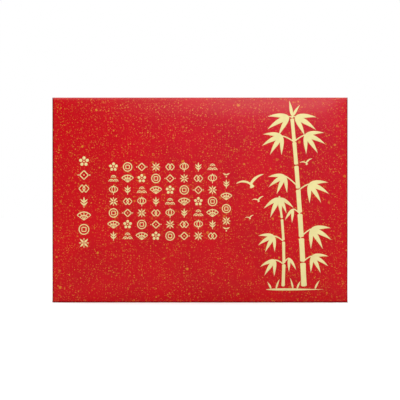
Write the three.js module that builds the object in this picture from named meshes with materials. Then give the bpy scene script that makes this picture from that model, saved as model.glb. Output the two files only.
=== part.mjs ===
// A flat card envelope for a gift of banknotes: one die-cut sheet, scored, folded and glued.
// Millimetres. X runs along the long edge, Z up the short edge, Y from the printed face to the back.
// The origin is under the middle of the bottom fold.

import * as THREE from 'three';

// Driving dimensions: the closed, empty envelope
const envelopeWidth = 180;
const envelopeHeight = 125;
const cardThickness = 0.35;
const tabClearance = 0.45; // between the front panel and the side tabs, inside the fold
const sealClearance = 0.2; // between the release liner and the back panel

// Side tabs, folded in behind the front panel
const tabDepth = 20;
const tabEndSlope = 24 * Math.PI / 180; // of the tab's upper and lower ends
const tabCornerRadius = 4;

// Glue seams, between the side tabs and the back panel
const seamGlueThickness = 0.1;
const seamGlueWidth = 12;
const seamGlueEdgeDistance = 3; // from the tab's inner edge
const seamGlueEndDistance = 4; // from the tab's corners and the mouth
const seamGlueCornerRadius = 3;

// Back panel, folded up from the bottom fold
const mouthDrop = 8; // from the top of the envelope down to the mouth's edge
const backPanelInset = 1.5; // of its sides, inside the front panel's folded edges
const backPanelShoulder = 4; // height over which the panel narrows above the bottom fold
const mouthCornerRadius = 3;

// Thumb notch in the mouth's edge
const notchRadius = 12;
const notchDepth = 9;
const notchLipRadius = 3;

// Closure flap, folded down over the back
const flapDepth = 46; // from the top of the envelope to the middle of the flap's lower edge
const flapTaper = 12; // inwards on each side, from the fold to the lower edge
const flapCornerRadius = 10;
const flapEdgeRise = 4; // of the arched lower edge, from its middle to its ends

// Sealing tape on the inside of the flap, with its release liner
const tapeWidth = 8;
const tapeThickness = 0.15;
const tapeEdgeDistance = 7; // from the middle of the flap's lower edge
const tapeEndDistance = 8; // from the flap's slanted sides
const linerThickness = 0.1;
const linerOverhang = 0.5; // past each long side of the tape
const linerTail = 5; // pull tail past the tape's end
const linerCornerRadius = 2;

// Facets
const foldSegments = 12; // round a half turn of a fold
const cornerSegments = 6; // round each corner of a tab, a glue seam or the liner
const edgeSegments = 16; // along each arc of the flap and of the mouth

// Layers, from the printed face to the back of the flap
const pocketGap = tabClearance + cardThickness + seamGlueThickness;
const envelopeDepth = 3 * cardThickness + pocketGap + sealClearance + linerThickness + tapeThickness;
const frontOuter = -envelopeDepth / 2;
const frontInner = frontOuter + cardThickness;
const tabInner = frontInner + tabClearance;
const tabOuter = tabInner + cardThickness;
const backInner = frontInner + pocketGap;
const backOuter = backInner + cardThickness;
const linerFace = backOuter + sealClearance;
const tapeFace = linerFace + linerThickness;
const flapInner = tapeFace + tapeThickness;
const flapOuter = flapInner + cardThickness;

// Folds: each is a half tube whose faces run on into the two panels that it joins
const sideFoldRadius = (tabOuter - frontOuter) / 2;
const bottomFoldRadius = (backOuter - frontOuter) / 2;
const flapFoldRadius = (flapOuter - frontOuter) / 2;

// The front panel between its folds
const panelSide = envelopeWidth / 2 - sideFoldRadius;
const panelBottom = bottomFoldRadius;
const panelTop = envelopeHeight - flapFoldRadius;

// Places on the tabs and the back
const tabInnerEdge = panelSide - tabDepth;
const tabEndDrop = tabDepth * Math.tan(tabEndSlope);
const backPanelSide = envelopeWidth / 2 - backPanelInset;
const mouthHeight = envelopeHeight - mouthDrop;

// Places on the flap
const flapEdgeHeight = envelopeHeight - flapDepth;
const flapEdgeEnd = panelSide - flapTaper;
const flapEdgeEndHeight = flapEdgeHeight + flapEdgeRise;
const tapeBottom = flapEdgeHeight + tapeEdgeDistance;
const flapTaperAtTape = flapTaper * (panelTop - tapeBottom) / (panelTop - flapEdgeEndHeight);
const tapeEnd = panelSide - flapTaperAtTape - tapeEndDistance;

const redCard = { color: 0xc81b20, roughness: 0.42, metalness: 0.08 };
const foldedCard = { color: 0xb81a1f, roughness: 0.45, metalness: 0.08 };
const driedGlue = { color: 0xefe9d6, roughness: 0.3, metalness: 0 };
const tapeFilm = { color: 0xe9e6dc, roughness: 0.35, metalness: 0 };
const linerPaper = { color: 0xe8d9a2, roughness: 0.4, metalness: 0 };

const envelope = new THREE.Group();

function addPiece(name, geometry, finish) {
  const mesh = new THREE.Mesh(geometry, new THREE.MeshStandardMaterial(finish));
  mesh.name = name;
  envelope.add(mesh);
  return mesh;
}

// The point where a corner's arc meets the side towards one neighbour.
function cornerTangent(corner, neighbour, otherNeighbour) {
  const point = new THREE.Vector2(corner.x, corner.y);
  const side = new THREE.Vector2(neighbour.x, neighbour.y).sub(point).normalize();
  const otherSide = new THREE.Vector2(otherNeighbour.x, otherNeighbour.y).sub(point).normalize();
  const halfAngle = Math.acos(side.dot(otherSide)) / 2;
  return point.addScaledVector(side, corner.radius / Math.tan(halfAngle));
}

// The arc of an outward corner, in an outline that runs anticlockwise.
function addCornerArc(shape, corner, start, end) {
  const direction = new THREE.Vector2(corner.x - start.x, corner.y - start.y).normalize();
  const centreX = start.x - direction.y * corner.radius;
  const centreY = start.y + direction.x * corner.radius;
  const startAngle = Math.atan2(start.y - centreY, start.x - centreX);
  const endAngle = Math.atan2(end.y - centreY, end.x - centreX);
  shape.absarc(centreX, centreY, corner.radius, startAngle, endAngle, false);
}

// A convex outline, anticlockwise through its corners, each with its own radius.
function roundedOutline(corners) {
  const shape = new THREE.Shape();
  corners.forEach((corner, index) => {
    const before = corners.at(index - 1);
    const after = corners[(index + 1) % corners.length];
    const start = cornerTangent(corner, before, after);
    const end = cornerTangent(corner, after, before);
    if (index === 0) {
      shape.moveTo(start.x, start.y);
    } else {
      shape.lineTo(start.x, start.y);
    }
    if (corner.radius > 0) {
      addCornerArc(shape, corner, start, end);
    }
  });
  shape.closePath();
  return shape;
}

function rectangle(left, right, bottom, top, radius = 0) {
  return roundedOutline([
    { x: left, y: bottom, radius },
    { x: right, y: bottom, radius },
    { x: right, y: top, radius },
    { x: left, y: top, radius },
  ]);
}

// A flat sheet: an outline drawn in X and Z, extruded from one depth to another.
function sheet(outline, fromY, toY, curveSegments = cornerSegments) {
  const depth = toY - fromY;
  const geometry = new THREE.ExtrudeGeometry(outline, { depth, bevelEnabled: false, curveSegments });
  geometry.rotateX(Math.PI / 2);
  geometry.translate(0, toY, 0);
  return geometry;
}

// A folded edge: half a tube of card round the Z axis, with its crown towards +Y.
function foldedEdge(outerRadius, length) {
  const section = new THREE.Shape();
  section.absarc(0, 0, outerRadius, 0, Math.PI, false);
  section.absarc(0, 0, outerRadius - cardThickness, Math.PI, 0, true);
  section.closePath();
  const options = { depth: length, bevelEnabled: false, curveSegments: foldSegments };
  const geometry = new THREE.ExtrudeGeometry(section, options);
  geometry.translate(0, 0, -length / 2);
  return geometry;
}

function addFrontPanel() {
  const outline = rectangle(-panelSide, panelSide, panelBottom, panelTop);
  addPiece('front_panel', sheet(outline, frontOuter, frontInner), redCard);
}

function addSideFold(name, side) {
  const fold = addPiece(name, foldedEdge(sideFoldRadius, panelTop - panelBottom), foldedCard);
  fold.rotation.z = -side * Math.PI / 2;
  fold.position.set(side * panelSide, (frontOuter + tabOuter) / 2, (panelBottom + panelTop) / 2);
}

// A fold along X, its crown towards +Z with crownSide 1 and towards -Z with crownSide -1. It spans
// the whole width, past the ends of the side folds, and so the envelope's corners are square.
function lengthwiseFold(radius, crownSide) {
  const geometry = foldedEdge(radius, envelopeWidth);
  geometry.rotateY(Math.PI / 2);
  geometry.rotateX(crownSide * Math.PI / 2);
  return geometry;
}

function addBottomFold() {
  const fold = addPiece('bottom_fold', lengthwiseFold(bottomFoldRadius, -1), foldedCard);
  fold.position.set(0, (frontOuter + backOuter) / 2, panelBottom);
}

function addFlapFold() {
  const fold = addPiece('flap_fold', lengthwiseFold(flapFoldRadius, 1), redCard);
  fold.position.set(0, (frontOuter + flapOuter) / 2, panelTop);
}

// The tab's ends slant inwards from the ends of its fold.
function addSideTab(name, side) {
  const corners = [
    { x: side * panelSide, y: panelBottom, radius: 0 },
    { x: side * panelSide, y: panelTop, radius: 0 },
    { x: side * tabInnerEdge, y: panelTop - tabEndDrop, radius: tabCornerRadius },
    { x: side * tabInnerEdge, y: panelBottom + tabEndDrop, radius: tabCornerRadius },
  ];
  if (side < 0) {
    corners.reverse();
  }
  addPiece(name, sheet(roundedOutline(corners), tabInner, tabOuter), redCard);
}

function addSeamGlue(name, side) {
  const middle = side * (tabInnerEdge + seamGlueEdgeDistance + seamGlueWidth / 2);
  const outline = rectangle(
    middle - seamGlueWidth / 2,
    middle + seamGlueWidth / 2,
    panelBottom + tabEndDrop + seamGlueEndDistance,
    Math.min(panelTop - tabEndDrop, mouthHeight) - seamGlueEndDistance,
    seamGlueCornerRadius,
  );
  addPiece(name, sheet(outline, tabOuter, backInner), driedGlue);
}

// The panel narrows above the bottom fold. A rounded lip leads into each side of the thumb notch.
function addBackPanel() {
  const cornerX = backPanelSide - mouthCornerRadius;
  const cornerHeight = mouthHeight - mouthCornerRadius;
  const notchCentre = mouthHeight + notchRadius - notchDepth;
  const lipHeight = mouthHeight - notchLipRadius;
  const lipX = Math.sqrt((notchRadius + notchLipRadius) ** 2 - (notchCentre - lipHeight) ** 2);
  const lipAngle = Math.atan2(notchCentre - lipHeight, lipX);

  const outline = new THREE.Shape();
  outline.moveTo(-panelSide, panelBottom);
  outline.lineTo(panelSide, panelBottom);
  outline.lineTo(backPanelSide, panelBottom + backPanelShoulder);
  outline.absarc(cornerX, cornerHeight, mouthCornerRadius, 0, Math.PI / 2, false);
  outline.absarc(lipX, lipHeight, notchLipRadius, Math.PI / 2, Math.PI - lipAngle, false);
  outline.absarc(0, notchCentre, notchRadius, -lipAngle, lipAngle - Math.PI, true);
  outline.absarc(-lipX, lipHeight, notchLipRadius, lipAngle, Math.PI / 2, false);
  outline.absarc(-cornerX, cornerHeight, mouthCornerRadius, Math.PI / 2, Math.PI, false);
  outline.lineTo(-backPanelSide, panelBottom + backPanelShoulder);
  outline.closePath();
  addPiece('back_panel', sheet(outline, backInner, backOuter, edgeSegments), redCard);
}

// The flap narrows from its fold to an arched lower edge. Each corner's arc touches the slanted
// side and the arch from inside: its centre lies one radius in from both.
function addClosureFlap() {
  const slant = new THREE.Vector2(flapTaper, panelTop - flapEdgeEndHeight).normalize();
  const archRadius = (flapEdgeEnd ** 2 + flapEdgeRise ** 2) / (2 * flapEdgeRise);
  const archCentre = flapEdgeHeight + archRadius;

  const corner = new THREE.Vector2(-slant.y, slant.x).multiplyScalar(flapCornerRadius);
  corner.add(new THREE.Vector2(flapEdgeEnd, flapEdgeEndHeight));
  const fromArchCentre = new THREE.Vector2(corner.x, corner.y - archCentre);
  const along = fromArchCentre.dot(slant);
  const centreDistance = archRadius - flapCornerRadius;
  const slide = -along - Math.sqrt(along ** 2 - fromArchCentre.lengthSq() + centreDistance ** 2);
  corner.addScaledVector(slant, slide);

  const slantAngle = Math.atan2(-slant.x, slant.y);
  const archAngle = Math.atan2(corner.y - archCentre, corner.x);
  const outline = new THREE.Shape();
  outline.moveTo(panelSide, panelTop);
  outline.lineTo(-panelSide, panelTop);
  outline.absarc(-corner.x, corner.y, flapCornerRadius, Math.PI - slantAngle, Math.PI - archAngle, false);
  outline.absarc(0, archCentre, archRadius, -Math.PI - archAngle, archAngle, false);
  outline.absarc(corner.x, corner.y, flapCornerRadius, archAngle, slantAngle, false);
  outline.closePath();
  addPiece('closure_flap', sheet(outline, flapInner, flapOuter, edgeSegments), redCard);
}

function addFlapTape() {
  const outline = rectangle(-tapeEnd, tapeEnd, tapeBottom, tapeBottom + tapeWidth);
  addPiece('flap_tape', sheet(outline, tapeFace, flapInner), tapeFilm);
}

function addTapeLiner() {
  const outline = rectangle(
    -tapeEnd,
    tapeEnd + linerTail,
    tapeBottom - linerOverhang,
    tapeBottom + tapeWidth + linerOverhang,
    linerCornerRadius,
  );
  addPiece('tape_liner', sheet(outline, linerFace, tapeFace), linerPaper);
}

addFrontPanel();
addSideFold('left_fold', -1);
addSideFold('right_fold', 1);
addBottomFold();
addFlapFold();
addSideTab('left_side_tab', -1);
addSideTab('right_side_tab', 1);
addSeamGlue('left_seam_glue', -1);
addSeamGlue('right_seam_glue', 1);
addBackPanel();
addClosureFlap();
addFlapTape();
addTapeLiner();

export default envelope;
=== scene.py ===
"""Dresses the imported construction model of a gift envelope: folded card, foil, tape and liner.

Every length is in metres, in the model's own frame: X along the long edge, Z up the short
edge, Y from the printed face to the back.
"""

import math

import bpy
import numpy as np
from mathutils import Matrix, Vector


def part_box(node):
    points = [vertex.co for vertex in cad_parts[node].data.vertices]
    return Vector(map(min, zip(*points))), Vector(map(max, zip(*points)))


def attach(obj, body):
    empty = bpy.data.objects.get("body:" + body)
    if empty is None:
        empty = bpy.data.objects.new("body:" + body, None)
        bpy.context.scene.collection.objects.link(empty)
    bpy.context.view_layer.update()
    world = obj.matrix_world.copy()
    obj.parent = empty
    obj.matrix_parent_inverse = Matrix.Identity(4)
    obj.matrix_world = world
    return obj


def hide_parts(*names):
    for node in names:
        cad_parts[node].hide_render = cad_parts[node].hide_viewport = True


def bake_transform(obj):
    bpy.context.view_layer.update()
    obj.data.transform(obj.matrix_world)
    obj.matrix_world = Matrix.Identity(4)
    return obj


bl_info = {
    "name": "Gift Envelope",
    "version": (1, 0, 0),
    "blender": (4, 5, 0),
    "location": "View3D > Sidebar > Envelope",
    "description": "Folded card, stamped foil, tape and liner of a red gift envelope",
    "category": "Add Mesh",
}

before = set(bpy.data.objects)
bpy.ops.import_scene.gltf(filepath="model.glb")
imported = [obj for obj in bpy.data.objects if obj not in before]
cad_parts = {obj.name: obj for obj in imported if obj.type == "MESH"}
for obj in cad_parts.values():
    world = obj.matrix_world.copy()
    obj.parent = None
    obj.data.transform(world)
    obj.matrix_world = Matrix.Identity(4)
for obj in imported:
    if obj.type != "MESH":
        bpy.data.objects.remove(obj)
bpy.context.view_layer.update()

MM = 0.001

# The UV map that holds each point's place on the unfolded sheet, in metres
FLAT_MAP = "flat_sheet"


def box(node):
    """Lowest and highest corner of a construction node, as arrays."""
    return tuple(np.array(corner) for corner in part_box(node))


# Planes and edges of the folded sheet, read from the construction model
FRONT_LOW, FRONT_HIGH = box("front_panel")
TAB_LOW, TAB_HIGH = box("right_side_tab")
BACK_HIGH = box("back_panel")[1]
FLAP_LOW, FLAP_HIGH = box("closure_flap")
LINER_LOW, LINER_HIGH = box("tape_liner")
TAPE_LOW, TAPE_HIGH = box("flap_tape")

CARD = FRONT_HIGH[1] - FRONT_LOW[1]
SIDE = FRONT_HIGH[0]
BOTTOM = FRONT_LOW[2]
TOP = FRONT_HIGH[2]
MIDDLE = (BOTTOM + TOP) / 2
FRONT_FACE = FRONT_LOW[1]
TAB_FACE = TAB_HIGH[1]
BACK_FACE = BACK_HIGH[1]
FLAP_FACE = FLAP_HIGH[1]
MOUTH = BACK_HIGH[2]
FLAP_EDGE = FLAP_LOW[2]
TAB_DEPTH = SIDE - TAB_LOW[0]
SIDE_FOLD_RADIUS = (TAB_FACE - FRONT_FACE) / 2
FLAP_FOLD_RADIUS = (FLAP_FACE - FRONT_FACE) / 2
HEIGHT = TOP + FLAP_FOLD_RADIUS
WIDTH = 2 * (SIDE + SIDE_FOLD_RADIUS)

# Sizes of the outlines that the boxes don't give, as the construction model has them
TAB_SLOPE = math.radians(24)
TAB_CORNER = 4 * MM
BACK_INSET = 1.5 * MM
BACK_SIDE = WIDTH / 2 - BACK_INSET
BACK_SHOULDER = 4 * MM
MOUTH_CORNER = 3 * MM
NOTCH_RADIUS = 12 * MM
NOTCH_DEPTH = 9 * MM
NOTCH_LIP = 3 * MM
FLAP_TAPER = 12 * MM
FLAP_CORNER = 10 * MM
FLAP_RISE = 4 * MM
LINER_CORNER = 2 * MM

# Left open where two bodies' faces would otherwise share a plane
HAIR_GAP = 0.01 * MM

# The photograph: the face fills this box of its 400 pixels
PHOTO_SIZE = 400
PHOTO_LEFT = 52.35
PHOTO_RIGHT = 347.65
PHOTO_BOTTOM = 302.6
PIXEL = WIDTH / (PHOTO_RIGHT - PHOTO_LEFT)


def place(column, row):
    """The point of the printed face, as X and Z, under a pixel of the photograph."""
    return np.array([(column - PHOTO_SIZE / 2) * PIXEL, (PHOTO_BOTTOM - row) * PIXEL])


# Settings


def length_setting(name, description, millimetres):
    size = millimetres * MM
    return bpy.props.FloatProperty(name=name, description=description, default=size, unit="LENGTH")


def power_setting(name, description, watts):
    return bpy.props.FloatProperty(name=name, description=description, default=watts, unit="POWER")


def colour_setting(name, description, *rgb):
    return bpy.props.FloatVectorProperty(name=name, description=description, default=rgb, subtype="COLOR")


class EnvelopeCard(bpy.types.PropertyGroup):
    """Sizes of the folded card that the construction model leaves plain."""

    crown: length_setting("Face crown", "How far the printed face bows out between its folds", 0.8)
    back_crown: length_setting("Back crown", "How far the back panel bows out below the flap", 0.3)
    ripple: length_setting("Ripple", "Height of the card's slow ripple", 0.05)
    score_depth: length_setting("Score depth", "Depth of the pressed line beside each fold", 0.01)
    score_distance: length_setting("Score distance", "From the fold to the pressed line beside it", 0.7)
    tab_step: length_setting("Tab step", "Height of the step that a glued tab leaves in the back", 0.06)
    flap_lift: length_setting("Flap lift", "How far the flap's lower lip curls away from the back", 0.8)


class EnvelopeColours(bpy.types.PropertyGroup):
    """Colours of the finishes, as linear red, green and blue."""

    red: colour_setting("Printed red", "Ground colour of the printed card", 0.406, 0.0008, 0.0044)
    gold: colour_setting("Foil gold", "Pale gold of the stamped foil", 0.582, 0.520, 0.218)
    fleck: colour_setting("Fleck gold", "Colour of the brightest flecks", 0.495, 0.188, 0.016)
    inside: colour_setting("Inside", "Uncoated inner side of the card", 0.68, 0.64, 0.56)
    liner: colour_setting("Liner", "Release paper on the tape", 0.80, 0.69, 0.36)


class EnvelopeFoil(bpy.types.PropertyGroup):
    """Sizes of the stamped foil."""

    lift: length_setting("Foil lift", "How far the foil stands above the card", 0.04)
    bed: length_setting("Foil bed", "How far the foil reaches into the card", 0.08)
    line: length_setting("Line width", "Width of the fine lines in the small ornaments", 0.54)


class EnvelopeStage(bpy.types.PropertyGroup):
    """Camera distance and lights."""

    camera_distance: length_setting("Camera distance", "From the camera to the printed face", 2000)
    window_power: power_setting("Window light", "Power of the high light behind the camera", 9.2)
    cool_power: power_setting("Cool light", "Power of the bluish light behind the camera", 1.25)
    top_power: power_setting("Top light", "Power of the near light above the upper edge", 0.28)
    back_power: power_setting("Back light", "Power of the light on the flap's side", 4.0)


# Meshes


def stacked(*coordinates):
    """Coordinates as one array of points, each first repeated to the shape of the whole grid."""
    return np.stack(np.broadcast_arrays(*coordinates), axis=-1)


def grid_quads(rows, columns, first=0):
    """Quads of a grid numbered row by row: each joins a point, the next in its row, and the two
    above them."""
    corner = first + np.arange(rows - 1)[:, None] * columns + np.arange(columns - 1)
    return stacked(corner, corner + 1, corner + columns + 1, corner + columns).reshape(-1, 4)


def border(rows, columns):
    """Numbers of a grid's border points, once round."""
    index = np.arange(rows * columns).reshape(rows, columns)
    return np.concatenate([index[0, :-1], index[:-1, -1], index[-1, :0:-1], index[:0:-1, 0]])


def signed_volume(points, quads):
    """Volume within a closed mesh: a sixth of the sum of a x b . c over its triangles. It is
    positive when the faces point out."""
    a, b, c, d = (points[quads[:, i]] for i in range(4))
    return (np.sum(np.cross(a, b) * c) + np.sum(np.cross(a, c) * d)) / 6


def new_piece(name, points, faces, finishes, finish_index=None, flat=None, crease=math.radians(32)):
    """A mesh object at the origin, smooth but for edges sharper than the crease angle. Flat, if
    given, is each point's place on the unfolded sheet, and becomes the UV map."""
    mesh = bpy.data.meshes.new(name)
    mesh.from_pydata(points.tolist(), [], faces)
    if flat is not None:
        corner = np.empty(len(mesh.loops), dtype=np.int32)
        mesh.loops.foreach_get("vertex_index", corner)
        layer = mesh.uv_layers.new(name=FLAT_MAP)
        layer.data.foreach_set("uv", flat[corner].astype(np.float32).reshape(-1))
    for finish in finishes:
        mesh.materials.append(finish)
    if finish_index is not None:
        mesh.polygons.foreach_set("material_index", finish_index.astype(np.int32))
    mesh.shade_smooth()
    mesh.set_sharp_from_angle(angle=crease)
    mesh.update()
    piece = bpy.data.objects.new(name, mesh)
    bpy.context.scene.collection.objects.link(piece)
    return piece


def card_piece(name, printed, inner, flat, finishes):
    """A sheet of card: a grid of points on its printed side, one on its inner side, and the cut
    edge between their borders. Flat is the grid on the unfolded sheet. The finishes are for the
    printed side, the inside and the edge."""
    rows, columns = printed.shape[:2]
    count = rows * columns
    points = np.concatenate([printed.reshape(-1, 3), inner.reshape(-1, 3)])
    outside = grid_quads(rows, columns)
    inside = grid_quads(rows, columns, count)[:, ::-1]
    ring = border(rows, columns)
    onward = np.roll(ring, -1)
    edge = stacked(onward, ring, ring + count, onward + count)
    quads = np.concatenate([outside, inside, edge])
    if signed_volume(points, quads) < 0:
        quads = quads[:, ::-1]
    finish_index = np.repeat([0, 1, 2], [len(outside), len(inside), len(edge)])
    flat = np.tile(flat.reshape(-1, 2), (2, 1))
    return new_piece(name, points, quads.tolist(), finishes, finish_index, flat)


def dense_at_ends(low, high, count, fine, fine_count):
    """Steps from low to high, with closer ones over a fine stretch at each end."""
    return np.concatenate([
        np.linspace(low, low + fine, fine_count, endpoint=False),
        np.linspace(low + fine, high - fine, count, endpoint=False),
        np.linspace(high - fine, high, fine_count + 1),
    ])


def smoothstep(low, high, value):
    """0 below low, 1 above high, and 3t^2 - 2t^3 between."""
    t = np.clip((value - low) / (high - low), 0, 1)
    return t * t * (3 - 2 * t)


def mirrored(half, sign):
    """A row of values for the sheet's right half, after their mirror image for its left half."""
    return np.concatenate([sign * half[::-1], half])


# Surfaces of the card

# Over this stretch beside a fold the points are closer together
NEAR_FOLD = 2 * MM
NEAR_STEPS = 14

# The ripple's waves: share of its height, radians per metre along X and along Z, and phase
RIPPLE_WAVES = [(0.5, 52, 31, 0.6), (0.3, -38, 74, 2.1), (0.2, 121, 17, 4.0)]
SCORE_WIDTH = 0.35 * MM


def ripple(x, z):
    """Slow ripple of a card panel, between -1 and 1: plane waves added."""
    return sum(share * np.sin(across * x + up * z + phase) for share, across, up, phase in RIPPLE_WAVES)


def face_bow(x, z):
    """How far the printed face stands out at X and Z. It bows by 1 - t^7 across each way, so
    that it is flat in the middle and rolls back towards its folds, with the card's ripple and
    a pressed line beside each fold."""
    card = bpy.context.scene.envelope_card
    across = 1 - np.clip(np.abs(x) / SIDE, 0, 1) ** 7
    up = 1 - np.clip(np.abs(z - MIDDLE) / (TOP - MIDDLE), 0, 1) ** 7
    bow = (card.crown + card.ripple * ripple(x, z)) * across * up
    for to_fold in (SIDE - np.abs(x), TOP - z, z - BOTTOM):
        bow = bow - card.score_depth * np.exp(-(((to_fold - card.score_distance) / SCORE_WIDTH) ** 2))
    return bow


def side_profile():
    """The sheet's section at one height, from the left tab's edge over the face to the right
    tab's edge. It is straight on the tabs and the face, and half a circle round each fold.
    Returns X, Y, the outward normal's X and Y, the distance past the fold, and the distance
    along the section from its middle."""
    face = dense_at_ends(0, SIDE, 60, fine=NEAR_FOLD, fine_count=NEAR_STEPS)[NEAR_STEPS:]
    turn = np.linspace(0, math.pi, 15)[1:-1]
    reach = TAB_DEPTH * np.sin(np.linspace(0, math.pi / 2, 40))
    x = np.concatenate([face, SIDE + SIDE_FOLD_RADIUS * np.sin(turn), SIDE - reach])
    normal_x = np.concatenate([0 * face, np.sin(turn), 0 * reach])
    normal_y = np.concatenate([0 * face - 1, -np.cos(turn), 0 * reach + 1])
    y = (TAB_FACE + FRONT_FACE) / 2 + SIDE_FOLD_RADIUS * normal_y
    past = np.concatenate([0 * face, 0 * turn, reach])
    past_fold = SIDE + SIDE_FOLD_RADIUS * math.pi
    run = np.concatenate([face, SIDE + SIDE_FOLD_RADIUS * turn, past_fold + reach])
    rows = [(x, -1), (y, 1), (normal_x, -1), (normal_y, 1), (past, 1), (run, -1)]
    return [mirrored(half, sign) for half, sign in rows]


def tab_half_height(past):
    """Half the sheet's height at a distance past the side fold: it shrinks by the slope of the
    tab's end, and follows an arc at the tab's corner."""
    half = (TOP - BOTTOM) / 2
    slope = math.tan(TAB_SLOPE)
    centre = TAB_DEPTH - TAB_CORNER
    centre_height = half - centre * slope - TAB_CORNER / math.cos(TAB_SLOPE)
    on_corner = past > centre + TAB_CORNER * math.sin(TAB_SLOPE)
    arc = np.sqrt(np.clip(TAB_CORNER**2 - (past - centre) ** 2, 0, None))
    return np.where(on_corner, centre_height + arc, half - past * slope)


def front_sheet_surfaces():
    """Printed and inner side of the front panel with its side folds and tabs, and the same grid
    unfolded: the section carried up the sheet, its ends drawn in on the tabs."""
    x, y, normal_x, normal_y, past, run = side_profile()
    up = dense_at_ends(-1, 1, 70, fine=NEAR_FOLD / (TOP - MIDDLE), fine_count=NEAR_STEPS)
    z = MIDDLE + up[:, None] * tab_half_height(past)
    bow = np.where(normal_y < 0, -normal_y * face_bow(x, z), 0)
    printed = stacked(x, y - bow, z)
    return printed, printed - CARD * stacked(normal_x, normal_y, 0), stacked(run, z)


def make_front_sheet(finishes):
    piece = card_piece("front_sheet", *front_sheet_surfaces(), finishes)
    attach(piece, "packet")
    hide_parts("front_panel", "left_fold", "right_fold", "left_side_tab", "right_side_tab")


def half_round(x, face, level, way, steps):
    """A fold over or under the envelope, from the front to another face of the card: half a
    circle at Z level, upwards where way is 1 and downwards where it is -1. Returns its points,
    their normals and their place on the unfolded sheet."""
    radius = (face - FRONT_FACE) / 2
    turn = np.linspace(0, math.pi, steps)[:, None]
    normal = stacked(0 * x, -np.cos(turn), way * np.sin(turn))
    outer = stacked(x, (face + FRONT_FACE) / 2, level) + radius * normal
    return outer, normal, stacked(x, level + way * radius * turn)


# The stretch across a lip of the thumb notch, where the points are closer together
LIP_START = 10 * MM
LIP_END = 14 * MM

# The step over a glued tab: from its start before the tab's edge to its end past it, and the
# height above the bottom fold over which it grows
STEP_START = 1.5 * MM
STEP_END = 0.3 * MM
STEP_GROWTH = 12 * MM

# The back is flat where it leaves the bottom fold, and its bow is whole at this height
BACK_EASE = 6 * MM


def mouth_height(x):
    """Height of the back panel's upper edge at X: level, falling along a quarter circle at its
    corners, and along a lip's arc and then the notch's arc at the thumb notch."""
    distance = np.abs(x)
    into_corner = np.clip(distance - (BACK_SIDE - MOUTH_CORNER), 0, MOUTH_CORNER)
    height = MOUTH - MOUTH_CORNER + np.sqrt(MOUTH_CORNER**2 - into_corner**2)
    notch_centre = MOUTH + NOTCH_RADIUS - NOTCH_DEPTH
    lip_centre = MOUTH - NOTCH_LIP
    lip_x = math.sqrt((NOTCH_RADIUS + NOTCH_LIP) ** 2 - (notch_centre - lip_centre) ** 2)
    meeting = lip_x * NOTCH_RADIUS / (NOTCH_RADIUS + NOTCH_LIP)
    lip = lip_centre + np.sqrt(np.clip(NOTCH_LIP**2 - (distance - lip_x) ** 2, 0, None))
    notch = notch_centre - np.sqrt(np.clip(NOTCH_RADIUS**2 - distance**2, 0, None))
    return np.select([distance < meeting, distance < lip_x], [notch, lip], height)


def back_columns():
    """Places across the back panel, from -1 to 1, closer together at the notch's lips and at
    the corners."""
    straight_end = BACK_SIDE - MOUTH_CORNER
    half = np.concatenate([
        np.linspace(0, LIP_START, 16, endpoint=False),
        np.linspace(LIP_START, LIP_END, 24, endpoint=False),
        np.linspace(LIP_END, straight_end, 40, endpoint=False),
        straight_end + MOUTH_CORNER * np.sin(np.linspace(0, math.pi / 2, 12)),
    ]) / BACK_SIDE
    return np.concatenate([-half[:0:-1], half])


def back_bow(x, z):
    """How far the back panel stands out at X and Z: a low crown below the flap's tape, and
    between the two glued tabs a sink by the height of their steps."""
    card = bpy.context.scene.envelope_card
    across = 1 - (x / (WIDTH / 2)) ** 2
    height = np.clip((z - BOTTOM) / (LINER_LOW[2] - BOTTOM), 0, 1)
    crown = card.back_crown * across * np.sin(math.pi * height) ** 2
    tab_edge = SIDE - TAB_DEPTH
    on_tab = smoothstep(tab_edge - STEP_START, tab_edge + STEP_END, np.abs(x))
    return crown + card.tab_step * (on_tab * smoothstep(BOTTOM, BOTTOM + STEP_GROWTH, z) - 1)


def back_sheet_surfaces():
    """Printed and inner side of the bottom fold and the back panel, and the same grid unfolded:
    half a circle under the envelope, and then straight up to the mouth."""
    across = back_columns()
    fold, fold_normal, fold_flat = half_round(across * WIDTH / 2, BACK_FACE, BOTTOM, way=-1, steps=16)

    # The rows are closer together over this share of the height, just above the fold
    near = 0.12
    up = np.concatenate([np.linspace(0, near, 16)[1:], np.linspace(near, 1, 70)[1:]])[:, None]
    z = BOTTOM + up * (mouth_height(across * BACK_SIDE) - BOTTOM)
    x = across * (WIDTH / 2 - BACK_INSET * np.clip((z - BOTTOM) / BACK_SHOULDER, 0, 1))
    y = BACK_FACE + back_bow(x, z) * smoothstep(BOTTOM, BOTTOM + BACK_EASE, z)
    past_fold = BOTTOM - math.pi * (BACK_FACE - FRONT_FACE) / 2
    printed = np.concatenate([fold, stacked(x, y, z)])
    normal = np.concatenate([fold_normal, stacked(0 * x, 1, 0)])
    flat = np.concatenate([fold_flat, stacked(x, past_fold - (z - BOTTOM))])
    return printed, printed - CARD * normal, flat


def make_back_sheet(finishes):
    piece = card_piece("back_sheet", *back_sheet_surfaces(), finishes)
    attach(piece, "packet")
    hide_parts("back_panel", "bottom_fold")


def coons(start, end, low, high):
    """The surface between four border curves: the two blends of opposite curves added, less the
    blend of the four corners. Start and end run up the sides, low and high run across."""
    v = np.linspace(0, 1, len(start))[:, None, None]
    u = np.linspace(0, 1, len(low))[None, :, None]
    between_sides = (1 - u) * start[:, None] + u * end[:, None]
    between_ends = (1 - v) * low[None] + v * high[None]
    corners = (1 - v) * ((1 - u) * low[0] + u * low[-1]) + v * ((1 - u) * high[0] + u * high[-1])
    return between_sides + between_ends - corners


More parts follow.
